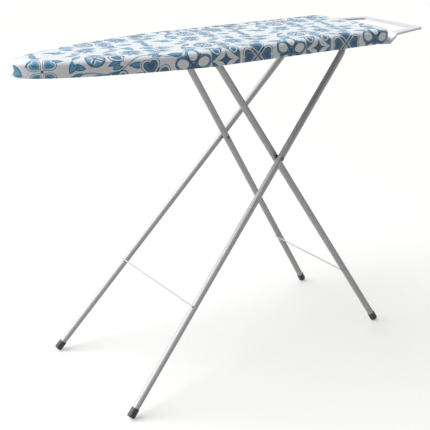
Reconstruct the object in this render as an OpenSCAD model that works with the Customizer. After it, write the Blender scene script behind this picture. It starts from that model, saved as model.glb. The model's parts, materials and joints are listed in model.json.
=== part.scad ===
// Folding ironing board on two crossed tube frames.
// The board runs along X with its nose at -X. The floor is z = 0 and the
// origin lies on the floor under the middle of the whole length.

/* [Board] */
// Length of the board from the nose to the square end
board_len = 1103; // [1080:1:1130]
// Width of the board over its straight part
board_w = 320; // [310:1:330]
// Height of the ironing surface above the floor
board_h = 937; // [915:1:945]
// Depth of the covered edge
skirt_h = 42; // [40:1:46]
// Length of the tapering nose
nose_len = 471; // [420:1:520]
// How far the square end bulges at its middle
end_bulge = 10; // [4:1:16]
// Plan radius of the two square-end corners
corner_r = 28; // [20:1:40]
// Spacing of the steam holes along the board
hole_pitch = 44; // [38:1:60]
// Radius of a steam hole
steam_hole_r = 5; // [3:0.5:8]

/* [Iron rest] */
// How far the rest reaches past the square end
rest_reach = 164; // [120:1:200]
// Half width of the rest at the board
rest_half_in = 157; // [150:1:160]
// Half width of the rest at its outer end
rest_half_out = 120; // [100:1:140]
// Width of the pressed channel
rest_w = 24; // [18:1:30]
// Depth of the channel's turned-down edges
rest_t = 6; // [5:0.5:8]
// Depth of the rest's top face below the ironing surface
rest_drop = 17; // [12:1:20]

/* [Leg frames] */
// Outside diameter of the leg tube
tube_d = 19; // [18:0.5:20]
// Wall of the leg tube
tube_wall = 1.2; // [0.8:0.1:1.6]
// Centre-line radius of the outer frame's bends under the board
outer_bend_r = 50; // [30:1:52]
// Centre-line radius of the inner frame's bends under the board
inner_bend_r = 30; // [28:1:40]
// Distance of the crossing point from the nose
pivot_from_nose = 712; // [700:1:720]
// Height of the crossing point
pivot_h = 607; // [602:1:612]
// Lean of the outer frame from upright
outer_lean = 42.15; // [41.5:0.05:42.5]
// Lean of the inner frame from upright
inner_lean = 32.95; // [32.5:0.05:33.5]
// Half gap between the outer legs at the crossing
outer_half = 140.6; // [140:0.1:142]
// Half gap between the inner legs at the crossing
inner_half = 115; // [114:0.1:115.4]
// Angle at which each outer leg closes towards its top
outer_taper = 5.42; // [5.2:0.01:5.6]
// Angle at which each inner leg closes towards its top
inner_taper = 5.04; // [4.9:0.01:5.2]
// Diameter of the brace wires
wire_d = 4; // [3:0.5:5]
// Distance of the outer brace below the crossing, along the frame
outer_wire_at = 477; // [440:1:520]
// Distance of the inner brace below the crossing, along the frame
inner_wire_at = 467; // [430:1:500]
// Outside diameter of a foot cap
cap_d = 22.4; // [22:0.1:24]
// Length of a foot cap
cap_len = 27; // [22:1:32]

/* [Hidden] */
$fn = 48;
LEFT = 1;
RIGHT = -1;

// Colours
steel_grey = [0.72, 0.73, 0.74];
rest_white = [0.93, 0.94, 0.96];
cap_black = [0.08, 0.09, 0.1];
zinc = [0.7, 0.7, 0.68];

// Where the board stands along X
nose_x = -(board_len + rest_reach) / 2;
end_x = nose_x + board_len;

// Layers of the board, from the top down
cover_t = 2;
pad_t = 8;
sheet_t = 1.5;
cover_top = board_h;
pad_top = cover_top - cover_t;
sheet_top = pad_top - pad_t;
sheet_low = sheet_top - sheet_t;
cover_low = board_h - skirt_h;
hem_w = 20;
hem_t = 2;
rim_low = cover_low + hem_t;
rim_t = 2;
rim_gap = 0.2;
rim_flange = 12;

// Stiffening rails and the end cross member
rail_y = 44;
rail_w = 24;
rail_wall = 1.5;
rail_low = cover_low + 13;
rail_start = nose_x + 190;
rail_end = end_x - 90;
member_x = end_x - 60;
member_w = 34;
member_half = 125;

// Hinge of the outer frame
tube_r = tube_d / 2;
hinge_fit = 0.1;
hinge_z = rail_low - tube_r - hinge_fit;
hinge_rise = (hinge_z - pivot_h) / cos(outer_lean);
pivot_x = nose_x + pivot_from_nose;
hinge_x = pivot_x + hinge_rise * sin(outer_lean);
strap_t = 2;
strap_w = 20;
strap_foot = 18;
screw_r = 2;
screw_fit = 0.1;
saddle_screw_x = tube_r + strap_t + strap_foot / 2 + 1;

// Sliding bar of the inner frame and its racks
bar_z = rail_low - 17;
bar_rise = (bar_z - pivot_h) / cos(inner_lean);
bar_x = pivot_x - bar_rise * sin(inner_lean);
bar_travel = 280;
slot_up = tube_r + 6.6;
slot_down = tube_r + 1;
notch_depth = 2.5;
notch_r = 10.5;
notch_pitch = 36;
notch_count = 5;
rack_t = 2;
rack_y = rail_y - rail_w / 2 - rack_t / 2;
rack_lip = 4;
rack_low = bar_z - slot_down - rack_lip;
rack_top = sheet_low - 5;
rack_margin = 18;
rack_corner_r = 10;

// Crossing rivets
rivet_r = 3;
rivet_fit = 0.05;
rivet_head_r = 5.5;
rivet_head_t = 1.8;
spacer_r = 7;
spacer_t = 4.8;

// Foot caps
cap_r = cap_d / 2;
cap_floor = 4;
cap_fit = 0.05;
cap_bevel = 0.8;
cap_sole_r = cap_r - cap_bevel;

// ---------- outline of the board ----------

// Half width of the nose at a distance x behind its tip
nose_bluntness = 1.14;
nose_roundness = 1.91;
function nose_half(x) =
    board_w / 2 * pow(1 - pow(1 - x / nose_len, nose_bluntness), 1 / nose_roundness);

// Right half of the outline, from the nose tip to the middle of the square end
nose_steps = 22;
corner_steps = 6;
end_steps = 3;
corner_y = board_w / 2 - corner_r;
corner_x = board_len - end_bulge * pow(corner_y / (board_w / 2), 2) - corner_r;
half_outline = concat(
    [for (i = [0 : nose_steps])
        let (x = nose_len * pow(i / nose_steps, 2)) [x, -nose_half(x)]],
    [for (i = [0 : corner_steps])
        let (a = -90 + 84 * i / corner_steps)
        [corner_x + corner_r * cos(a), -corner_y + corner_r * sin(a)]],
    [for (i = [1 : end_steps])
        let (y = -corner_y * (1 - i / end_steps))
        [board_len - end_bulge * pow(y / (board_w / 2), 2), y]]
);
half_count = len(half_outline);
outline = concat(
    half_outline,
    [for (i = [half_count - 2 : -1 : 1]) [half_outline[i][0], -half_outline[i][1]]]
);

// The outline moved inwards by d along its own normals
function unit(v) = v / norm(v);
function inset(pts, d) = [
    for (i = [0 : len(pts) - 1])
        let (
            n = len(pts),
            along = unit(pts[(i + 1) % n] - pts[(i + n - 1) % n])
        )
        pts[i] + d * [-along[1], along[0]]
];

module slab(d, low, high) {
    translate([nose_x, 0, low])
        linear_extrude(high - low) polygon(inset(outline, d));
}

module ring(outer_d, inner_d, low, high) {
    difference() {
        slab(outer_d, low, high);
        slab(inner_d, low - 1, high + 1);
    }
}

// ---------- soft parts ----------

module fabric_cover() {
    color("lightblue") difference() {
        slab(0, cover_low, cover_top);
        slab(cover_t, cover_low + hem_t, pad_top);
        slab(hem_w, cover_low - 1, pad_top - 1);
    }
}

module foam_pad() {
    color("ivory") slab(cover_t + 0.4, sheet_top, pad_top);
}

module hem_elastic() {
    color("white") ring(hem_w - 5, hem_w - 2.5, rim_low + 0.1, rim_low + 2.6);
}

// ---------- board frame ----------

steam_rows = [-3 : 3];
steam_row_gap = 38;
hole_margin = 26;
module steam_holes() {
    for (row = steam_rows)
        for (i = [2 : floor(board_len / hole_pitch) - 1]) {
            x = (i + (row % 2 == 0 ? 0 : 0.5)) * hole_pitch;
            y = row * steam_row_gap;
            room = x < nose_len ? nose_half(x) : board_w / 2;
            if (abs(y) < room - hole_margin && x < board_len - hole_margin)
                translate([nose_x + x, y, sheet_low - 1]) cylinder(r = steam_hole_r, h = 4, $fn = 24);
        }
}

module top_sheet() {
    color(steel_grey) difference() {
        slab(cover_t + 0.6, sheet_low, sheet_top);
        steam_holes();
    }
}

module rim_frame() {
    outer = cover_t + rim_gap;
    color(steel_grey) union() {
        ring(outer, outer + rim_t, rim_low, sheet_low);
        ring(outer, outer + rim_flange, rim_low, rim_low + rim_t);
    }
}

// Open channel along X, webbed at the bottom and welded under the sheet
module channel_x(x0, x1, y, w, low) {
    difference() {
        translate([x0, y - w / 2, low]) cube([x1 - x0, w, sheet_low - low]);
        translate([x0 - 1, y - w / 2 + rail_wall, low + rail_wall])
            cube([x1 - x0 + 2, w - 2 * rail_wall, sheet_low - low]);
    }
}

// Places along X of the rack screws
rack_x0 = bar_x - bar_travel - rack_margin;
rack_x1 = bar_x + rack_margin;
rack_screw_x = [rack_x0 + 10, bar_x - (notch_count - 0.5) * notch_pitch, rack_x1 - 10];
rack_screw_z = rack_top - 6.5;

module stiffener(side) {
    color(steel_grey) difference() {
        channel_x(rail_start, rail_end, side * rail_y, rail_w, rail_low);
        for (s = [-1, 1])
            translate([hinge_x + s * saddle_screw_x, side * rail_y, rail_low - 1])
                cylinder(r = screw_r + screw_fit, h = 4);
        for (x = rack_screw_x)
            translate([x, side * (rail_y - rail_w / 2 - 1), rack_screw_z])
                rotate([-90 * side, 0, 0]) cylinder(r = screw_r + screw_fit, h = 4);
    }
}

// The iron rest's centre line: from the left tab out to the elbow, round the
// far end and back to the right tab
rest_top = board_h - rest_drop;
rest_end_x = end_x + rest_reach;
tab_top = cover_low - 0.2;
tab_x = member_x;
tab_y = 106;
tab_back = 18;
elbow_x = end_x + 16;
elbow_y = rest_half_in - 0.53 * rest_w;
side_turn = atan2(rest_half_in - rest_half_out, rest_end_x - elbow_x);
corner_y_out = rest_half_out - rest_w / 2 * (1 - sin(side_turn)) / cos(side_turn);
arm_turn = atan2(elbow_y - tab_y, elbow_x - tab_x);
rest_screw_at = [-9, 9];

module end_cross_member() {
    color(steel_grey) difference() {
        translate([member_x - member_w / 2, -member_half, cover_low])
            cube([member_w, 2 * member_half, sheet_low - cover_low]);
        translate([member_x - member_w / 2 + rail_wall, -member_half - 1, cover_low + rail_wall])
            cube([member_w - 2 * rail_wall, 2 * member_half + 2, sheet_low - cover_low]);
        at_rest_screws()
            translate([0, 0, cover_low - 1]) cylinder(r = screw_r + screw_fit, h = 4);
    }
}

// ---------- outer frame's hinge ----------

// Strap section around the hinge tube, with a foot at each side
module strap_section() {
    bore = tube_r + hinge_fit;
    rise = rail_low - hinge_z;
    difference() {
        union() {
            circle(bore + strap_t);
            translate([-bore - strap_t, 0]) square([2 * (bore + strap_t), rise]);
            translate([-bore - strap_t - strap_foot, rise - strap_t])
                square([2 * (bore + strap_t + strap_foot), strap_t]);
        }
        circle(bore);
        translate([-bore, 0]) square([2 * bore, rise + 1]);
        translate([-bore - strap_t, rise]) square(2 * (bore + strap_t));
    }
}

module hinge_saddle(side) {
    color(zinc) difference() {
        translate([hinge_x, side * rail_y + strap_w / 2, hinge_z])
            rotate([90, 0, 0]) linear_extrude(strap_w) strap_section();
        for (s = [-1, 1])
            translate([hinge_x + s * saddle_screw_x, side * rail_y, rail_low - 4])
                cylinder(r = screw_r + screw_fit, h = 8);
    }
}

// Pan-head screw along +Z, with the underside of its head at z = 0
module pan_screw(shank) {
    cylinder(r = screw_r, h = shank);
    translate([0, 0, -1.2]) cylinder(r = 2 * screw_r, h = 1.2);
    translate([0, 0, -2.2]) cylinder(r1 = 1.2 * screw_r, r2 = 2 * screw_r, h = 1);
}

module saddle_screws() {
    color(zinc) for (side = [LEFT, RIGHT], s = [-1, 1])
        translate([hinge_x + s * saddle_screw_x, side * rail_y, rail_low - strap_t])
            pan_screw(9);
}

// ---------- racks ----------

module height_rack(side) {
    y0 = side * rack_y - rack_t / 2;
    slot_x0 = bar_x - bar_travel;
    slot_low = bar_z - slot_down;
    slot_top = bar_z + slot_up;
    color(zinc) difference() {
        union() {
            translate([rack_x0, y0, rack_low + rack_corner_r])
                cube([rack_x1 - rack_x0, rack_t, rack_top - rack_low - rack_corner_r]);
            translate([rack_x0 + rack_corner_r, y0, rack_low])
                cube([rack_x1 - rack_x0 - 2 * rack_corner_r, rack_t, rack_top - rack_low]);
            for (x = [rack_x0 + rack_corner_r, rack_x1 - rack_corner_r])
                translate([x, y0, rack_low + rack_corner_r])
                    rotate([-90, 0, 0]) cylinder(r = rack_corner_r, h = rack_t);
        }
        translate([slot_x0, y0 - 1, slot_low])
            cube([bar_travel, rack_t + 2, slot_top - slot_low]);
        for (x = [slot_x0, bar_x])
            translate([x, y0 - 1, (slot_low + slot_top) / 2])
                rotate([-90, 0, 0]) cylinder(r = (slot_top - slot_low) / 2, h = rack_t + 2);
        for (i = [0 : notch_count - 1])
            translate([bar_x - i * notch_pitch, y0 - 1, slot_top + notch_depth - notch_r])
                rotate([-90, 0, 0]) cylinder(r = notch_r, h = rack_t + 2);
        for (x = rack_screw_x)
            translate([x, y0 - 1, rack_screw_z])
                rotate([-90, 0, 0]) cylinder(r = screw_r + screw_fit, h = rack_t + 2);
    }
}

module rack_screws() {
    color(zinc) for (side = [LEFT, RIGHT], x = rack_screw_x)
        translate([x, side * (rack_y - rack_t / 2), rack_screw_z])
            rotate([-90 * side, 0, 0]) pan_screw(6);
}

// ---------- iron rest ----------

rest_wall = 1.5;
rest_corner_r = 8;
ramp_foot = end_x - 3;
ramp_head = elbow_x;
ramp_angle = atan2(rest_top - tab_top, ramp_head - ramp_foot);

function normal(a, b) = let (v = b - a) [-v[1], v[0]] / norm(v);

// Arc of radius r that rounds the corner at b
function fillet(a, b, c, r, steps) =
    let (
        n0 = normal(a, b),
        n1 = normal(b, c),
        side = a[0] * (b[1] - c[1]) + b[0] * (c[1] - a[1]) + c[0] * (a[1] - b[1]) < 0 ? -1 : 1,
        centre = b + side * r * (n0 + n1) / (1 + n0 * n1),
        a0 = atan2(n0[1], n0[0]),
        turn = atan2(n0[0] * n1[1] - n0[1] * n1[0], n0 * n1)
    )
    [for (i = [0 : steps])
        let (t = a0 + turn * i / steps) centre - side * r * [cos(t), sin(t)]];

// The path with its corners rounded to radius r
function rounded(path, r) =
    let (last = len(path) - 1)
    concat(
        [path[0]],
        [for (i = [1 : last - 1]) each fillet(path[i - 1], path[i], path[i + 1], r, 4)],
        [path[last]]
    );

function offset_path(path, d) =
    let (last = len(path) - 1)
    [for (i = [0 : last])
        let (
            n0 = normal(path[max(i - 1, 0)], path[max(i, 1)]),
            n1 = normal(path[min(i, last - 1)], path[min(i + 1, last)])
        )
        path[i] + d * (n0 + n1) / (1 + n0 * n1)];

// Left half of the centre line, out to the far corner. The tab runs on by extra.
function rest_half_path(extra) = [
    [tab_x, tab_y] - (tab_back + extra) * [cos(arm_turn), sin(arm_turn)],
    [elbow_x, elbow_y],
    [rest_end_x - rest_w / 2, corner_y_out]
];

// Plan of the rest, in from its full width by cut at both sides
module rest_plan(cut, extra) {
    half_path = rest_half_path(extra);
    path = concat(half_path, [for (i = [2 : -1 : 0]) [half_path[i][0], -half_path[i][1]]]);
    half_w = rest_w / 2 - cut;
    outer_side = rounded(offset_path(path, half_w), rest_corner_r - cut);
    inner_side = rounded(offset_path(path, -half_w), rest_corner_r / 2 + cut);
    linear_extrude(board_h)
        polygon(concat(outer_side, [for (i = [len(inner_side) - 1 : -1 : 0]) inner_side[i]]));
}

// Side view of the rest between the depths t0 and t1 below its top face
module rest_profile(t0, t1) {
    start = tab_x - 2 * tab_back;
    finish = rest_end_x + 5;
    s0 = t0 * tan(ramp_angle / 2);
    s1 = t1 * tan(ramp_angle / 2);
    rotate([90, 0, 0]) translate([0, 0, -board_w]) linear_extrude(2 * board_w)
        polygon([
            [start, tab_top - t0], [ramp_foot + s0, tab_top - t0],
            [ramp_head + s0, rest_top - t0], [finish, rest_top - t0],
            [finish, rest_top - t1], [ramp_head + s1, rest_top - t1],
            [ramp_foot + s1, tab_top - t1], [start, tab_top - t1]
        ]);
}

module at_rest_screws() {
    for (side = [LEFT, RIGHT], s = rest_screw_at)
        translate([tab_x + s * cos(arm_turn), side * (tab_y + s * sin(arm_turn)), 0]) children();
}

// Channel open at the bottom: a stroke in plan, cut to the side view
module iron_rest() {
    color(rest_white) difference() {
        intersection() {
            rest_plan(0, 0);
            rest_profile(0, rest_t);
        }
        intersection() {
            rest_plan(rest_wall, 1);
            rest_profile(rest_wall, rest_t + 4);
        }
        at_rest_screws()
            translate([0, 0, tab_top - rest_wall - 1]) cylinder(r = screw_r + screw_fit, h = rest_wall + 2);
    }
}

module iron_rest_screws() {
    color(zinc) at_rest_screws() translate([0, 0, tab_top - rest_wall]) pan_screw(8);
}

// ---------- leg frames ----------
// A frame is drawn upright with its crossing point at the origin, its tubes in
// the YZ plane, and is then leaned about Y.

module in_frame(lean) {
    translate([pivot_x, 0, pivot_h]) rotate([0, lean, 0]) children();
}

// Distance of a leg's cap end below the crossing, along the leg
function leg_reach(lean, taper) =
    let (drop = cos(taper) * cos(lean))
    (pivot_h - cap_sole_r * sqrt(1 - drop * drop)) / drop;

// One leg, its bend and its half of the bar, all placed from the bend's centre.
// A hair-thin weld ring at each end of the bend joins it to its neighbours.
weld_len = 2;
weld_proud = 0.15;
module weld(r) {
    translate([0, 0, -weld_len / 2]) cylinder(r = r + weld_proud, h = weld_len);
}

module leg_run(half, taper, reach, above, bend_r, r, extra) {
    tangent = bend_r * tan((90 - taper) / 2);
    bar_half = round(100 * (half - tan(taper) * above - tangent)) / 100;
    leg_len = reach + above / cos(taper) - tangent;
    translate([0, bar_half, above - bend_r]) {
        rotate([taper, 0, 0]) translate([0, bend_r, 0]) rotate([180, 0, 0]) {
            cylinder(r = r, h = leg_len + extra);
            weld(r);
        }
        rotate([90, 0, 90]) rotate([0, 0, taper])
            rotate_extrude(angle = 90 - taper) translate([bend_r, 0]) circle(r);
        translate([0, 0, bend_r]) rotate([90, 0, 0]) {
            cylinder(r = r, h = bar_half);
            weld(r);
        }
    }
}

module leg_tube(half, taper, reach, above, bend_r) {
    difference() {
        union() {
            leg_run(half, taper, reach, above, bend_r, tube_r, 0);
            mirror([0, 1, 0]) leg_run(half, taper, reach, above, bend_r, tube_r, 0);
        }
        leg_run(half, taper, reach, above, bend_r, tube_r - tube_wall, 5);
        mirror([0, 1, 0]) leg_run(half, taper, reach, above, bend_r, tube_r - tube_wall, 5);
        rotate([90, 0, 0])
            translate([0, 0, -board_w]) cylinder(r = rivet_r + rivet_fit, h = 2 * board_w);
    }
}

// Cap over the end of a leg: a cup with a raised band near its mouth
module foot_cap(half, taper, reach, side) {
    mirror([0, side < 0 ? 1 : 0, 0])
        translate([0, half, 0]) rotate([taper, 0, 0]) translate([0, 0, -reach])
            difference() {
                union() {
                    cylinder(r1 = cap_sole_r, r2 = cap_r, h = 2);
                    translate([0, 0, 2]) cylinder(r = cap_r, h = cap_len - 5);
                    translate([0, 0, cap_len - 3]) cylinder(r1 = cap_r, r2 = cap_sole_r, h = 3);
                }
                translate([0, 0, cap_floor])
                    cylinder(r = tube_r + cap_fit, h = cap_len);
            }
}

// Wire welded across both legs on the frame's nose side
module brace_wire(half, taper, below) {
    reach = half + tan(taper) * below + 5;
    translate([-(tube_r + wire_d / 2 - 0.2), -reach, -below])
        rotate([-90, 0, 0]) cylinder(r = wire_d / 2, h = 2 * reach, $fn = 24);
}

outer_reach = leg_reach(outer_lean, outer_taper);
inner_reach = leg_reach(inner_lean, inner_taper);

module outer_leg_tube() {
    color(steel_grey) in_frame(outer_lean)
        leg_tube(outer_half, outer_taper, outer_reach - cap_floor, hinge_rise, outer_bend_r);
}

module inner_leg_tube() {
    color(steel_grey) in_frame(-inner_lean)
        leg_tube(inner_half, inner_taper, inner_reach - cap_floor, bar_rise, inner_bend_r);
}

module outer_brace_wire() {
    color(rest_white) in_frame(outer_lean) brace_wire(outer_half, outer_taper, outer_wire_at);
}

module inner_brace_wire() {
    color(rest_white) in_frame(-inner_lean) brace_wire(inner_half, inner_taper, inner_wire_at);
}

module outer_foot_cap(side) {
    color(cap_black) in_frame(outer_lean) foot_cap(outer_half, outer_taper, outer_reach, side);
}

module inner_foot_cap(side) {
    color(cap_black) in_frame(-inner_lean) foot_cap(inner_half, inner_taper, inner_reach, side);
}

// ---------- crossing ----------

module along_y(side) {
    translate([pivot_x, 0, pivot_h]) rotate([-90 * side, 0, 0]) children();
}

module pivot_rivet(side) {
    inner_face = inner_half - tube_r - 0.9;
    outer_face = outer_half + tube_r + 0.5;
    color(steel_grey) along_y(side) {
        translate([0, 0, inner_face]) cylinder(r = rivet_r, h = outer_face - inner_face);
        translate([0, 0, outer_face])
            cylinder(r1 = rivet_head_r, r2 = rivet_head_r - 2, h = rivet_head_t);
        translate([0, 0, inner_face - rivet_head_t])
            cylinder(r1 = rivet_head_r - 2, r2 = rivet_head_r, h = rivet_head_t);
    }
}

module pivot_spacer(side) {
    middle = (inner_half + outer_half) / 2;
    color(cap_black) along_y(side) difference() {
        translate([0, 0, middle - spacer_t / 2]) cylinder(r = spacer_r, h = spacer_t);
        translate([0, 0, middle - spacer_t]) cylinder(r = rivet_r + rivet_fit, h = 2 * spacer_t);
    }
}

fabric_cover();
foam_pad();
hem_elastic();
top_sheet();
rim_frame();
stiffener(LEFT);  // stiffener_left
stiffener(RIGHT);  // stiffener_right
end_cross_member();
hinge_saddle(LEFT);  // hinge_saddle_left
hinge_saddle(RIGHT);  // hinge_saddle_right
saddle_screws();
height_rack(LEFT);  // height_rack_left
height_rack(RIGHT);  // height_rack_right
rack_screws();
iron_rest();
iron_rest_screws();
outer_leg_tube();
outer_brace_wire();
outer_foot_cap(LEFT);  // outer_foot_cap_left
outer_foot_cap(RIGHT);  // outer_foot_cap_right
pivot_rivet(LEFT);  // pivot_rivet_left
pivot_rivet(RIGHT);  // pivot_rivet_right
pivot_spacer(LEFT);  // pivot_spacer_left
pivot_spacer(RIGHT);  // pivot_spacer_right
inner_leg_tube();
inner_brace_wire();
inner_foot_cap(LEFT);  // inner_foot_cap_left
inner_foot_cap(RIGHT);  // inner_foot_cap_right
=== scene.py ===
"""Looks of the folding ironing board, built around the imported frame. Everything is in metres."""

import json
import math

import bmesh
import bpy
from mathutils import Matrix, Vector, noise


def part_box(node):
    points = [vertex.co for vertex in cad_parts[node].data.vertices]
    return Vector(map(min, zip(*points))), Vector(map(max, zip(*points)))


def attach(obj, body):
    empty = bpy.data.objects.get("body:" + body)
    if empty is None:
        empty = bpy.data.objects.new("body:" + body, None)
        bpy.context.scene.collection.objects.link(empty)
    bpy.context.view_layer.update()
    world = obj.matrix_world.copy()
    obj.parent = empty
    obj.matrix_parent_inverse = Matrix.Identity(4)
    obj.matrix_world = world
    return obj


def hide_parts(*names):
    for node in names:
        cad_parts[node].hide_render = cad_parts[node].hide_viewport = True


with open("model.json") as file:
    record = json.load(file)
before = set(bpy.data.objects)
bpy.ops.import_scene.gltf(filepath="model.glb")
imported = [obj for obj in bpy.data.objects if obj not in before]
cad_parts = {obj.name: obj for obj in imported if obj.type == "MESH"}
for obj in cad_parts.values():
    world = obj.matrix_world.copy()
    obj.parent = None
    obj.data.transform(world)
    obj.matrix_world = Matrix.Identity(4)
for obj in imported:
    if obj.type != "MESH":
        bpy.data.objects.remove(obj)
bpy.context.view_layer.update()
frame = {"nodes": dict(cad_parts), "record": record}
nodes = frame["nodes"]
scene = bpy.context.scene
MM = 0.001


# ---------- camera, light and floor ----------

def make_camera():
    """The camera stands off the nose end, on the board's right, 0.4 m above the top."""
    place = (-1.4244, -1.9374, 1.3550)
    yaw, pitch, roll = (math.radians(angle) for angle in (35.488, 21.497, 0.637))
    data = bpy.data.cameras.new("camera")
    data.sensor_width = 36
    data.lens = 73.37
    camera = bpy.data.objects.new("camera", data)
    camera.matrix_world = (
        Matrix.Translation(place)
        @ Matrix.Rotation(-yaw, 4, "Z")
        @ Matrix.Rotation(math.pi / 2 - pitch, 4, "X")
        @ Matrix.Rotation(roll, 4, "Z")
    )
    scene.collection.objects.link(camera)
    scene.camera = camera


def add_light(name, kind, place, target, power, size, colour=(1, 1, 1)):
    """A soft lamp: size is a sun's angle in radians, or an area lamp's width in metres."""
    data = bpy.data.lights.new(name, kind)
    data.energy = power
    data.color = colour
    if kind == "SUN":
        data.angle = size
    else:
        data.shape = "DISK"
        data.size = size
    light = bpy.data.objects.new(name, data)
    aim = (Vector(target) - Vector(place)).to_track_quat("-Z", "Y")
    light.matrix_world = Matrix.Translation(place) @ aim.to_matrix().to_4x4()
    scene.collection.objects.link(light)


FLOOR_R = 40.0
WALL_H = 13.0       # a level view ends on the wall instead of the dim world


def make_floor():
    """A round white floor with a low wall along its rim. Its own faint light keeps the shadows soft."""
    mesh = bpy.data.meshes.new("floor")
    form = bmesh.new()
    bmesh.ops.create_circle(form, cap_ends=True, segments=96, radius=FLOOR_R)
    wall = bmesh.ops.extrude_edge_only(form, edges=form.edges[:])
    for part in wall["geom"]:
        if isinstance(part, bmesh.types.BMVert):
            part.co.z = WALL_H
    form.to_mesh(mesh)
    form.free()
    floor = bpy.data.objects.new("floor", mesh)
    scene.collection.objects.link(floor)
    paint = Paint("floor_paint", (0.25, 0.245, 0.236), roughness=0.9)
    paint.set("Emission Color", (1.0, 0.985, 0.96, 1))
    paint.set("Emission Strength", 0.48)
    floor.data.materials.append(paint.material)


def make_lights():
    """A wide sun over the board and a large soft lamp beyond the nose, both on the board's left."""
    sun_colour = (0.955, 1.0, 1.015)
    add_light("overhead", "SUN", (-1.9, 1.3, 4.0), (0, 0, 0.6), 7.1, math.radians(62), sun_colour)
    add_light("window", "AREA", (-3.2, 1.5, 2.2), (0, 0, 0.4), 55, 2.8)


def make_stage():
    """A pale studio in a dim world."""
    world = bpy.data.worlds.new("studio")
    world.use_nodes = True
    background = world.node_tree.nodes["Background"]
    background.inputs["Color"].default_value = (0.98, 0.99, 1.0, 1)
    background.inputs["Strength"].default_value = 0.08
    scene.world = world
    scene.view_settings.view_transform = "Standard"
    make_floor()
    make_lights()


# ---------- material helpers ----------

class Value:
    """A socket that takes part in arithmetic, so that a pattern reads as a formula."""

    def __init__(self, tree, socket):
        self.tree = tree
        self.socket = socket

    def _math(self, operation, *others):
        node = self.tree.nodes.new("ShaderNodeMath")
        node.operation = operation
        for slot, value in zip(node.inputs, (self,) + others):
            if isinstance(value, Value):
                self.tree.links.new(value.socket, slot)
            else:
                slot.default_value = value
        return Value(self.tree, node.outputs[0])

    def __add__(self, other):
        return self._math("ADD", other)

    def __sub__(self, other):
        return self._math("SUBTRACT", other)

    def __mul__(self, other):
        return self._math("MULTIPLY", other)

    def __truediv__(self, other):
        return self._math("DIVIDE", other)

    def __pow__(self, other):
        return self._math("POWER", other)

    def abs(self):
        return self._math("ABSOLUTE")

    def root(self):
        return self._math("SQRT")

    def sin(self):
        return self._math("SINE")

    def cos(self):
        return self._math("COSINE")

    def atan2(self, other):
        return self._math("ARCTAN2", other)

    def round(self):
        return self._math("ROUND")

    def wrap(self, high, low):
        return self._math("WRAP", high, low)

    def min(self, other):
        return self._math("MINIMUM", other)

    def max(self, other):
        return self._math("MAXIMUM", other)

    def below(self, edge, soft):
        """1 where the value is under edge, 0 over it, with a soft step between."""
        node = self.tree.nodes.new("ShaderNodeMapRange")
        node.interpolation_type = "SMOOTHSTEP"
        node.inputs["From Min"].default_value = edge - soft
        node.inputs["From Max"].default_value = edge + soft
        node.inputs["To Min"].default_value = 1
        node.inputs["To Max"].default_value = 0
        self.tree.links.new(self.socket, node.inputs["Value"])
        return Value(self.tree, node.outputs["Result"])


MIX_UNDER, MIX_OVER, MIX_RESULT = 6, 7, 2   # places of a mix node's colour sockets


class Paint:
    """A Principled material with small helpers for its nodes."""

    def __init__(self, name, colour, roughness=0.5, metallic=0.0, **constants):
        self.material = bpy.data.materials.new(name)
        self.material.use_nodes = True
        self.material.diffuse_color = (*colour, 1)
        self.tree = self.material.node_tree
        self.shader = self.tree.nodes["Principled BSDF"]
        self.set("Base Color", (*colour, 1))
        self.set("Roughness", roughness)
        self.set("Metallic", metallic)
        for key, value in constants.items():
            self.set(key.replace("_", " "), value)

    def set(self, name, value):
        self.shader.inputs[name].default_value = value

    def node(self, kind, **settings):
        node = self.tree.nodes.new(kind)
        for key, value in settings.items():
            if hasattr(node, key):
                setattr(node, key, value)
            else:
                node.inputs[key].default_value = value
        return node

    def link(self, source, target):
        self.tree.links.new(source, target)

    def place(self, scale=(1, 1, 1)):
        """Object coordinates, in metres times scale."""
        coordinates = self.node("ShaderNodeTexCoord")
        mapping = self.node("ShaderNodeMapping")
        mapping.inputs["Scale"].default_value = scale
        self.link(coordinates.outputs["Object"], mapping.inputs["Vector"])
        return mapping.outputs["Vector"]

    def noise(self, scale, detail=3.0, vector=None):
        texture = self.node("ShaderNodeTexNoise", Scale=scale, Detail=detail)
        self.link(vector or self.place(), texture.inputs["Vector"])
        return Value(self.tree, texture.outputs["Fac"])

    def ramp(self, value, low, high, name):
        """Drives a number input from low to high with a value from 0 to 1."""
        node = self.node("ShaderNodeMapRange")
        node.inputs["To Min"].default_value = low
        node.inputs["To Max"].default_value = high
        self.link(value.socket, node.inputs["Value"])
        self.link(node.outputs["Result"], self.shader.inputs[name])

    def mix(self, amount, under, over):
        """Colour over on colour under, as much as amount. A colour is a socket or a tuple."""
        node = self.node("ShaderNodeMix", data_type="RGBA")
        self.link(amount.socket, node.inputs["Factor"])
        for index, colour in ((MIX_UNDER, under), (MIX_OVER, over)):
            if isinstance(colour, tuple):
                node.inputs[index].default_value = (*colour, 1)
            else:
                self.link(colour, node.inputs[index])
        return node.outputs[MIX_RESULT]

    def tint(self, value, low, high):
        """Base colour that goes from low to high with a value from 0 to 1."""
        self.link(self.mix(value, low, high), self.shader.inputs["Base Color"])

    def bump(self, height, distance, strength):
        """Fine relief: height goes from 0 to 1, over a distance in metres."""
        node = self.node("ShaderNodeBump")
        node.inputs["Distance"].default_value = distance
        node.inputs["Strength"].default_value = strength
        self.link(height.socket, node.inputs["Height"])
        self.link(node.outputs["Normal"], self.shader.inputs["Normal"])


# ---------- the printed cotton ----------

GROUND = (0.43, 0.435, 0.445)   # the cloth, and the inks from light to dark
SKY = (0.046, 0.192, 0.284)
BLUE = (0.018, 0.1, 0.19)
DEEP = (0.01, 0.055, 0.115)
INK = (0.01, 0.03, 0.065)

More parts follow.
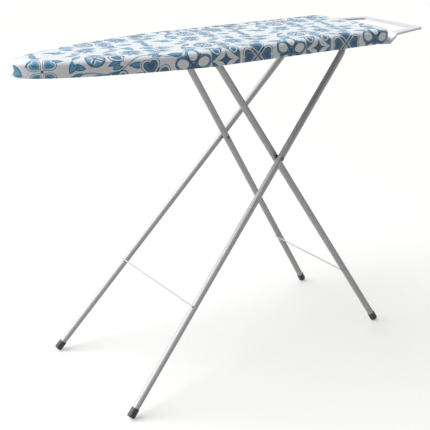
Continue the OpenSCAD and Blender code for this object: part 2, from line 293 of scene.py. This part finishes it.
REPEAT = 310.0      # of the print along the cloth, mm
ROW = 320.0         # between rows of large motifs, mm
ROW_SHIFT = 103.0   # of each row along the cloth, mm
PRINT_BLUR = 0.9    # of a motif's edges, mm


class Motif:
    """Coordinates of one printed motif, which repeats over the whole cloth: x and y in units of its size.

    share is how many times a motif repeats within a REPEAT, and rows how many times within a ROW.
    """

    def __init__(self, print_, u, v, size, turn=0.0, share=1, rows=1):
        repeat, pitch, shift = REPEAT / share, ROW / rows, ROW_SHIFT / rows
        row = ((print_.v - v) / pitch).round()
        du = (print_.u - row * shift - u).wrap(repeat / 2, -repeat / 2)
        dv = print_.v - row * pitch - v
        angle = math.radians(turn)
        cos, sin = math.cos(angle) / size, math.sin(angle) / size
        self.print = print_
        self.x = du * cos + dv * sin
        self.y = dv * cos - du * sin
        self.soft = PRINT_BLUR / size
        self.r = (self.x * self.x + self.y * self.y).root()

    def lay(self, field, edge, colour):
        """Prints colour where the field is below edge."""
        self.print.lay(field.below(edge, self.soft), colour)

    def layers(self, field, *steps):
        """Prints one colour inside the other, each given with its edge."""
        for edge, colour in steps:
            self.lay(field, edge, colour)

    def oval(self, x, y, a, b, at=(0.0, 0.0)):
        """Distance from the middle of an oval with half axes a and b, 1 on its edge."""
        dx, dy = (x - at[0]) / a, (y - at[1]) / b
        return (dx * dx + dy * dy).root()

    def petals(self, count, turn=0.0):
        """The plane folded so that every petal lies along +x."""
        angle = self.y.atan2(self.x) + math.radians(turn)
        folded = angle.wrap(math.pi / count, -math.pi / count)
        return self.r * folded.cos(), self.r * folded.sin()

    def heart(self, x, y):
        """1 on the outline of a heart of height 2 whose point is at -y."""
        lift = y * 1.15 - (x.abs() + 0.001).root() * 0.62
        return (x * x + lift * lift).root()


class Print:
    """The floral print: blue motifs laid one after the other on a pale ground."""

    def __init__(self, paint):
        self.paint = paint
        attribute = paint.node("ShaderNodeAttribute", attribute_name="cloth")
        split = paint.node("ShaderNodeSeparateXYZ")
        paint.link(attribute.outputs["Vector"], split.inputs["Vector"])
        self.u = Value(paint.tree, split.outputs["X"]) * 1000
        self.v = Value(paint.tree, split.outputs["Y"]) * 1000
        self.colour = GROUND

    def lay(self, mask, colour):
        self.colour = self.paint.mix(mask, self.colour, colour)


def bold_flower(*place):
    """Five broad petals with white ovals, and dark spokes between them."""
    m = Motif(*place)
    x, y = m.petals(5)
    petal = m.oval(x, y, 0.47, 0.4, at=(0.57, 0))
    m.layers(petal, (1.06, GROUND), (1.0, BLUE), (0.86, SKY), (0.76, BLUE))
    eye = m.oval(x, y, 0.32, 0.24, at=(0.6, 0))
    m.layers(eye, (1.16, DEEP), (1.0, GROUND))
    x, y = m.petals(5, 36)
    m.lay(m.oval(x, y, 0.48, 0.05, at=(0.34, 0)), 1.0, DEEP)
    m.lay(m.r, 0.14, DEEP)


def star_patch(*place):
    """Four blue lobes round a white star with a dark one inside it."""
    m = Motif(*place)
    patch = (m.x.abs() ** 3 + m.y.abs() ** 3) ** (1 / 3)
    m.lay(patch, 0.97, BLUE)
    x, y = m.petals(4, 45)
    lobe = m.oval(x, y, 0.36, 0.3, at=(0.84, 0))
    m.layers(lobe, (1.0, DEEP), (0.8, GROUND), (0.55, BLUE))
    for reach, bend, colour in ((1.06, 0.74, DEEP), (0.98, 0.74, GROUND), (0.74, 0.44, DEEP)):
        star = (m.x.abs() / reach) ** bend + (m.y.abs() / reach) ** bend
        m.lay(star, 1.0, colour)


def crossed_hearts(*place):
    """Four outlined hearts whose points meet on a dark cross."""
    m = Motif(*place)
    x, y = m.petals(4)
    heart = m.heart(y / 0.5, (x - 0.52) / 0.46)
    m.layers(heart, (1.2, GROUND), (1.1, DEEP), (1.02, GROUND), (0.84, DEEP), (0.76, BLUE))
    m.lay(m.heart(y / 0.2, (x - 0.6) / 0.2), 1.0, DEEP)
    x, y = m.petals(4, 45)
    m.lay(m.oval(x, y, 0.4, 0.045, at=(0.3, 0)), 1.0, INK)


def clover(*place):
    """Four heart-shaped leaves with thin dark outlines and a white line inside."""
    m = Motif(*place)
    x, y = m.petals(4)
    leaf = m.heart(y / 0.46, (x - 0.52) / 0.46)
    m.layers(leaf, (1.08, INK), (0.98, GROUND), (0.8, SKY), (0.4, BLUE))
    m.lay(m.r, 0.1, INK)


def daisy(*place):
    """Eight slim petals round a white eye."""
    m = Motif(*place)
    x, y = m.petals(8)
    m.layers(m.oval(x, y, 0.38, 0.19, at=(0.6, 0)), (1.0, BLUE), (0.6, SKY))
    m.layers(m.r, (0.26, DEEP), (0.15, GROUND))


def single_heart(*place):
    """One blue heart with a white line and a thin dark outline."""
    m = Motif(*place)
    m.layers(m.heart(m.x, m.y), (1.14, INK), (0.98, GROUND), (0.74, BLUE))


def compass(*place):
    """A round flower with a cross of dark bars."""
    m = Motif(*place)
    m.layers(m.r, (1.0, DEEP), (0.86, SKY))
    x, y = m.petals(4)
    m.lay(m.oval(x, y, 0.36, 0.24, at=(0.46, 0)), 1.0, GROUND)
    m.lay(m.x.abs().min(m.y.abs()).max(m.r * 0.09), 0.09, DEEP)


def leaf_pair(*place):
    """Two pointed leaves that open like a V, each with a light rib."""
    m = Motif(*place)
    half = m.y.abs()
    lean = math.radians(24)
    along = m.x * math.cos(lean) + half * math.sin(lean)
    across = half * math.cos(lean) - m.x * math.sin(lean)
    leaf = (across.abs() / 0.3) + ((along - 0.1) / 0.9) ** 2
    m.layers(leaf, (1.0, BLUE), (0.5, SKY))


def long_leaf(*place):
    """One slim leaf, light along its middle."""
    m = Motif(*place)
    m.layers((m.y.abs() / 0.32) + m.x * m.x, (1.0, BLUE), (0.45, SKY))


def vine(print_, v, reach, thickness, colour):
    """A thin wavy line along each row, two waves to a repeat."""
    row = ((print_.v - v) / ROW).round()
    swing = ((print_.u - row * ROW_SHIFT) * (2 * math.pi / REPEAT * 2)).sin() * reach
    line = (print_.v - row * ROW - v - swing).abs()
    print_.lay(line.below(thickness, 0.5), colour)


def cotton_print(paint):
    """Lays the whole print.

    A motif has its place along and across the cloth and its size in mm, its turn in degrees, and where
    it repeats more often, its share and rows.
    """
    print_ = Print(paint)
    vine(print_, -128, -12, 1.2, BLUE)

    # Small leaves all over
    long_leaf(print_, 20, -36, 21, 8, 3, 4)
    long_leaf(print_, 70, -60, 19, -22, 3, 4)
    leaf_pair(print_, 44, -22, 19, 150, 3, 4)
    leaf_pair(print_, 95, -128, 20, 15, 3, 2)
    long_leaf(print_, 45, -136, 22, -10, 3, 2)

    # Flowers between the middle and the edges
    clover(print_, 30, -70, 36, 20, 1, 2)
    leaf_pair(print_, 96, -96, 24, 40, 1, 2)
    compass(print_, 160, -88, 25, 45, 1, 2)
    long_leaf(print_, 124, -62, 22, 35, 1, 2)
    single_heart(print_, 214, -104, 18, 25, 1, 2)
    daisy(print_, 264, -78, 31, 8, 1, 2)
    single_heart(print_, 206, -62, 15, 200, 1, 2)

    # Light motifs along the middle
    long_leaf(print_, 40, 2, 27, 70)
    leaf_pair(print_, 286, -34, 30, 100)
    long_leaf(print_, 262, 18, 24, 60)
    leaf_pair(print_, 104, 8, 28, 20)
    daisy(print_, 180, 2, 28, 20)
    long_leaf(print_, 250, 10, 26, -15)

    # Large motifs along the skirt
    bold_flower(print_, 85, -180, 50, 12)
    star_patch(print_, 182, -180, 46, 0)
    crossed_hearts(print_, 284, -180, 45, 0)
    return print_.colour


def printed_cotton():
    """Plain-weave cotton with the print, a soft sheen and fine threads."""
    paint = Paint("printed_cotton", GROUND, roughness=0.62, Sheen_Weight=0.5, Sheen_Roughness=0.35)
    paint.set("Specular IOR Level", 0.6)
    paint.link(cotton_print(paint), paint.shader.inputs["Base Color"])
    attribute = paint.node("ShaderNodeAttribute", attribute_name="cloth")
    threads = []
    for direction in ("X", "Y"):
        wave = paint.node("ShaderNodeTexWave", bands_direction=direction, Scale=500.0, Distortion=0.6)
        paint.link(attribute.outputs["Vector"], wave.inputs["Vector"])
        threads.append(Value(paint.tree, wave.outputs["Fac"]))
    slub = paint.noise(220.0, 4.0, attribute.outputs["Vector"])
    paint.bump(threads[0] * 0.4 + threads[1] * 0.4 + slub * 0.6, 0.3 * MM, 0.5)
    return paint.material


# ---------- other materials ----------

def powder_coat(name, colour, roughness, grain=900.0, depth=0.02 * MM, metallic=0.0, coat=0.15):
    """Sprayed and baked paint: fine orange peel, slightly uneven gloss and tone."""
    paint = Paint(name, colour, roughness, metallic, Coat_Weight=coat, Coat_Roughness=0.3)
    cloudy = paint.noise(14.0, 4.0)
    darker = tuple(c * 0.93 for c in colour)
    paint.tint(cloudy, darker, colour)
    paint.ramp(paint.noise(60.0, 3.0), roughness - 0.06, roughness + 0.08, "Roughness")
    paint.bump(paint.noise(grain, 2.0), depth, 0.6)
    return paint.material


def zinc_plate():
    """Bright zinc with faint streaks and a slight yellow tone."""
    paint = Paint("zinc_plate", (0.66, 0.66, 0.62), 0.32, 1.0)
    streaks = paint.noise(90.0, 5.0, paint.place((1, 8, 8)))
    paint.tint(streaks, (0.5, 0.5, 0.47), (0.74, 0.73, 0.68))
    paint.ramp(paint.noise(45.0), 0.24, 0.42, "Roughness")
    paint.bump(streaks, 0.03 * MM, 0.5)
    return paint.material


def moulded_black():
    """Black polypropylene with a fine spark-eroded grain."""
    paint = Paint("moulded_black", (0.018, 0.019, 0.022), 0.5)
    paint.tint(paint.noise(30.0), (0.012, 0.013, 0.016), (0.028, 0.029, 0.033))
    paint.ramp(paint.noise(70.0), 0.42, 0.6, "Roughness")
    paint.bump(paint.noise(1500.0, 2.0), 0.05 * MM, 0.6)
    return paint.material


def felt():
    """Needled felt of the pad."""
    paint = Paint("felt", (0.72, 0.7, 0.65), 0.95, Sheen_Weight=0.4, Sheen_Roughness=0.5)
    flecks = paint.noise(350.0, 6.0)
    paint.tint(flecks, (0.6, 0.58, 0.53), (0.82, 0.8, 0.75))
    paint.bump(flecks, 0.6 * MM, 0.8)
    return paint.material


def braided_elastic():
    """Round elastic with a fine braid."""
    paint = Paint("braided_elastic", (0.8, 0.8, 0.78), 0.8)
    weave = paint.node("ShaderNodeTexChecker", Scale=900.0)
    paint.link(paint.place(), weave.inputs["Vector"])
    strands = Value(paint.tree, weave.outputs["Fac"])
    paint.tint(strands, (0.72, 0.72, 0.7), (0.86, 0.86, 0.84))
    paint.bump(strands, 0.3 * MM, 0.7)
    return paint.material


# ---------- mesh helpers ----------

def new_piece(name, form, body, material):
    """An object from a finished bmesh, riding on a body."""
    mesh = bpy.data.meshes.new(name)
    bmesh.ops.recalc_face_normals(form, faces=form.faces)
    form.to_mesh(mesh)
    form.free()
    for polygon in mesh.polygons:
        polygon.use_smooth = True
    piece = bpy.data.objects.new(name, mesh)
    scene.collection.objects.link(piece)
    mesh.materials.append(material)
    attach(piece, body)
    return piece


# ---------- the board's outline ----------

cover_low, cover_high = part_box("fabric_cover")
BOARD_LEN = cover_high.x - cover_low.x
HALF_W = cover_high.y
NOSE_LEN = 0.427 * BOARD_LEN
NOSE_BLUNTNESS = 1.14
NOSE_ROUNDNESS = 1.91
CORNER_R = 28 * MM
END_BULGE = 10 * MM


def nose_half(x):
    """Half width at a distance x behind the tip of the nose."""
    return HALF_W * (1 - max(1 - x / NOSE_LEN, 0) ** NOSE_BLUNTNESS) ** (1 / NOSE_ROUNDNESS)


def half_outline():
    """Points of the left half (+y), from the tip of the nose to the middle of the square end."""
    nose_steps, straight_steps, corner_steps, end_steps = 60, 90, 16, 24
    nose = [NOSE_LEN * (i / nose_steps) ** 2 for i in range(nose_steps + 1)]
    points = [(x, nose_half(x)) for x in nose]
    corner_y = HALF_W - CORNER_R
    corner_x = BOARD_LEN - END_BULGE * (corner_y / HALF_W) ** 2 - CORNER_R
    straight = corner_x - NOSE_LEN
    points += [(NOSE_LEN + straight * i / straight_steps, HALF_W) for i in range(1, straight_steps)]
    for i in range(corner_steps + 1):
        turn = math.radians(90 - 84 * i / corner_steps)
        points.append((corner_x + CORNER_R * math.cos(turn), corner_y + CORNER_R * math.sin(turn)))
    for i in range(1, end_steps + 1):
        y = corner_y * (1 - i / end_steps)
        points.append((BOARD_LEN - END_BULGE * (y / HALF_W) ** 2, y))
    return points


def outline():
    """The whole outline, anticlockwise seen from above, as points and outward normals."""
    left = half_outline()
    right = [(x, -y) for x, y in left[1:-1]]
    loop = [Vector((x + cover_low.x, y)) for x, y in right + left[::-1]]
    count = len(loop)
    normals = []
    for i in range(count):
        along = (loop[(i + 1) % count] - loop[i - 1]).normalized()
        normals.append(Vector((along.y, -along.x)))
    return loop, normals


EDGE_IN = 20 * MM       # the padded edge's rounding, along the top
EDGE_DOWN = 14 * MM     # and down the side
FLAT_IN = 22 * MM       # where the flat top starts, less than the radius of the nose
HEM_R = 3 * MM          # where the skirt turns under
CLOTH_T = 0.9 * MM
SAME_PLACE = 0.001 * MM     # points closer than this are joined
SOFT_SIDE = 0.8 * MM    # how far the skirt and the edge lie unevenly
TOP_SAG = 0.5 * MM      # how far the top lies unevenly
GATHER = 1.1 * MM       # depth of the hem's gathers
GATHER_WAVE = 2.4 * MM  # length along the hem for a radian of their wave


def padded_edge(depth, steps):
    """The rounded edge, lying depth inside the cover: (distance in from the outline, height)."""
    middle = cover_high.z - EDGE_DOWN
    turns = [math.radians(90 * i / steps) for i in range(steps + 1)]
    return [
        (EDGE_IN - (EDGE_IN - depth) * math.sin(turn), middle + (EDGE_DOWN - depth) * math.cos(turn))
        for turn in turns
    ]


def cover_profile():
    """The cover's section, from the flat top to the hem's casing round the elastic.

    Each entry is (distance in from the outline, height, distance along the cloth from the outline).
    """
    low = cover_low.z
    line = [(FLAT_IN, cover_high.z)] + padded_edge(0, 10)
    side = cover_high.z - EDGE_DOWN - low - HEM_R
    side_steps, turn_steps = 8, 4
    line += [(0, low + HEM_R + side * (1 - i / side_steps)) for i in range(1, side_steps + 1)]
    for i in range(1, turn_steps + 1):
        turn = math.radians(90 * i / turn_steps)
        line.append((HEM_R * (1 - math.cos(turn)), low + HEM_R * (1 - math.sin(turn))))

    # Under the board the cloth lies flat and then folds back over the elastic, in mm
    flat = [(inset, 0) for inset in range(6, 21, 3)]
    casing = [(19.6, 0.8), (20, 2.8), (19.4, 5.2), (17.5, 6.2), (15, 6.2)]
    line += [(inset * MM, low + lift * MM) for inset, lift in flat + casing]

    run = -line[0][0]
    profile = [(*line[0], run)]
    for before, after in zip(line, line[1:]):
        run += math.dist(before, after)
        profile.append((*after, run))
    return profile


def fill_middle(form, ring, cloth, steps, height):
    """Closes a ring with quads that shrink onto the board's centre line.

    height(x, y) adds to the ring's own height, and cloth is the layer for the print's coordinates.
    """
    spine = (cover_low.x + 90 * MM, cover_high.x - 120 * MM)
    count = len(ring)
    last = ring
    for k in range(1, steps + 1):
        row = []
        for vert in ring:
            middle = Vector((min(max(vert.co.x, spine[0]), spine[1]), 0, vert.co.z))
            place = middle.lerp(vert.co, 1 - k / steps)
            inner = form.verts.new((place.x, place.y, place.z + height(place.x, place.y)))
            inner[cloth] = (place.x, place.y, 0)
            row.append(inner)
        for i in range(count):
            j = (i + 1) % count
            form.faces.new((row[i], row[j], last[j], last[i]))
        last = row


def join_rings(form, rings):
    """Joins each ring to the next with quads."""
    for a, b in zip(rings, rings[1:]):
        for i in range(len(a)):
            j = (i + 1) % len(a)
            form.faces.new((a[i], a[j], b[j], b[i]))


def top_sag(x, y):
    """Height of the top's cloth against the flat, never above it, with about 5 waves a metre."""
    return min(noise.noise(Vector((x * 5, y * 5, 3))), 0) * TOP_SAG


def side_dent(place, height):
    """How far the skirt lies in at a place, with about 9 waves a metre along it and 30 down it."""
    return abs(noise.noise(Vector((place.x * 9, place.y * 9, height * 30)))) * SOFT_SIDE


def hem_gather(length, inset):
    """Height of the gathers under the board, which grow with the distance in from the outline."""
    grown = min(max(inset - 4 * MM, 0) / (12 * MM), 1)
    return (0.5 + 0.5 * math.sin(length / GATHER_WAVE)) * grown * GATHER


def make_cover():
    """The cotton cover: one cloth over the top, the edge and the skirt, gathered under at the hem."""
    loop, normals = outline()
    profile = cover_profile()
    form = bmesh.new()
    cloth = form.verts.layers.float_vector.new("cloth")
    length = 0.0
    rings = [[] for _ in profile]
    for i, normal in enumerate(normals):
        length += (loop[i] - loop[i - 1]).length
        for ring, (inset, height, run) in zip(rings, profile):
            place = loop[i] - normal * inset
            down = (cover_high.z - height) / (cover_high.z - cover_low.z)
            gather = hem_gather(length, inset) if down > 0.8 else 0.0
            place -= normal * side_dent(place, height) * min(1, down * 2)
            vert = form.verts.new((place.x, place.y, height + gather))
            flat = loop[i] + normal * run
            vert[cloth] = (flat.x, flat.y, 0)
            ring.append(vert)
    join_rings(form, rings)
    fill_middle(form, rings[0], cloth, 8, top_sag)
    bmesh.ops.remove_doubles(form, verts=form.verts, dist=SAME_PLACE)
    cover = new_piece("cover", form, "board", printed_cotton())
    thicken = cover.modifiers.new("thickness", "SOLIDIFY")
    thicken.thickness = CLOTH_T
    thicken.offset = -1
    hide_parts("fabric_cover")


def make_pad():
    """The felt pad under the cover: flat on the steel, with the rounded edge that shows in the cloth."""
    loop, normals = outline()
    clearance = 1.6 * MM    # between the cover's outside and the pad
    chamfer = 0.6 * MM
    pad_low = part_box("foam_pad")[0].z
    base = pad_low + 0.05 * MM
    line = [(inset, height) for inset, height in padded_edge(clearance, 10) if height > pad_low + 1 * MM]
    edge = line[-1][0]
    line += [(edge, pad_low + chamfer), (edge + chamfer, base)]
    form = bmesh.new()
    cloth = form.verts.layers.float_vector.new("cloth")
    rings = []
    for inset, height in [(FLAT_IN, line[0][1])] + line + [(FLAT_IN, base)]:
        rings.append([form.verts.new((*(p - n * inset), height)) for p, n in zip(loop, normals)])
    join_rings(form, rings)
    for ring in (rings[0], rings[-1]):
        fill_middle(form, ring, cloth, 6, lambda x, y: 0.0)
    bmesh.ops.remove_doubles(form, verts=form.verts, dist=SAME_PLACE)
    pad = new_piece("felt_pad", form, "board", felt())
    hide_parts("foam_pad")


def make_materials():
    """Sets every carried-over node's material."""
    by_slot = {
        "sheet_steel": powder_coat("sheet_grey", (0.55, 0.56, 0.58), 0.4),
        "leg_grey": powder_coat(
            "leg_silver", (0.33, 0.33, 0.335), 0.58, grain=400.0, depth=0.008 * MM, metallic=0.4, coat=0.0
        ),
        "rest_white": powder_coat("rest_white", (0.45, 0.45, 0.47), 0.3),
        "wire_white": powder_coat("wire_white", (0.33, 0.33, 0.335), 0.35),
        "rivet_steel": powder_coat("rivet_grey", (0.12, 0.12, 0.12), 0.4, metallic=0.6),
        "zinc_steel": zinc_plate(),
        "black_plastic": moulded_black(),
        "elastic": braided_elastic(),
    }
    for entry in frame["record"]["subparts"]:
        material = by_slot.get(entry["material_slot"])
        if material:
            mesh = nodes[entry["node"]].data
            mesh.materials.clear()
            mesh.materials.append(material)


def break_edges(names, width):
    """Rounds the sharp edges of pressed and moulded parts, so that they catch the light."""
    for name in names:
        bevel = nodes[name].modifiers.new("broken_edges", "BEVEL")
        bevel.width = width
        bevel.segments = 2
        bevel.limit_method = "ANGLE"
        bevel.angle_limit = math.radians(40)
        bevel.harden_normals = True


make_camera()
make_stage()
make_materials()
break_edges(("iron_rest", "end_cross_member", "stiffener_left", "stiffener_right"), 0.6 * MM)
break_edges(("height_rack_left", "height_rack_right", "hinge_saddle_left", "hinge_saddle_right"), 0.3 * MM)
make_pad()
make_cover()
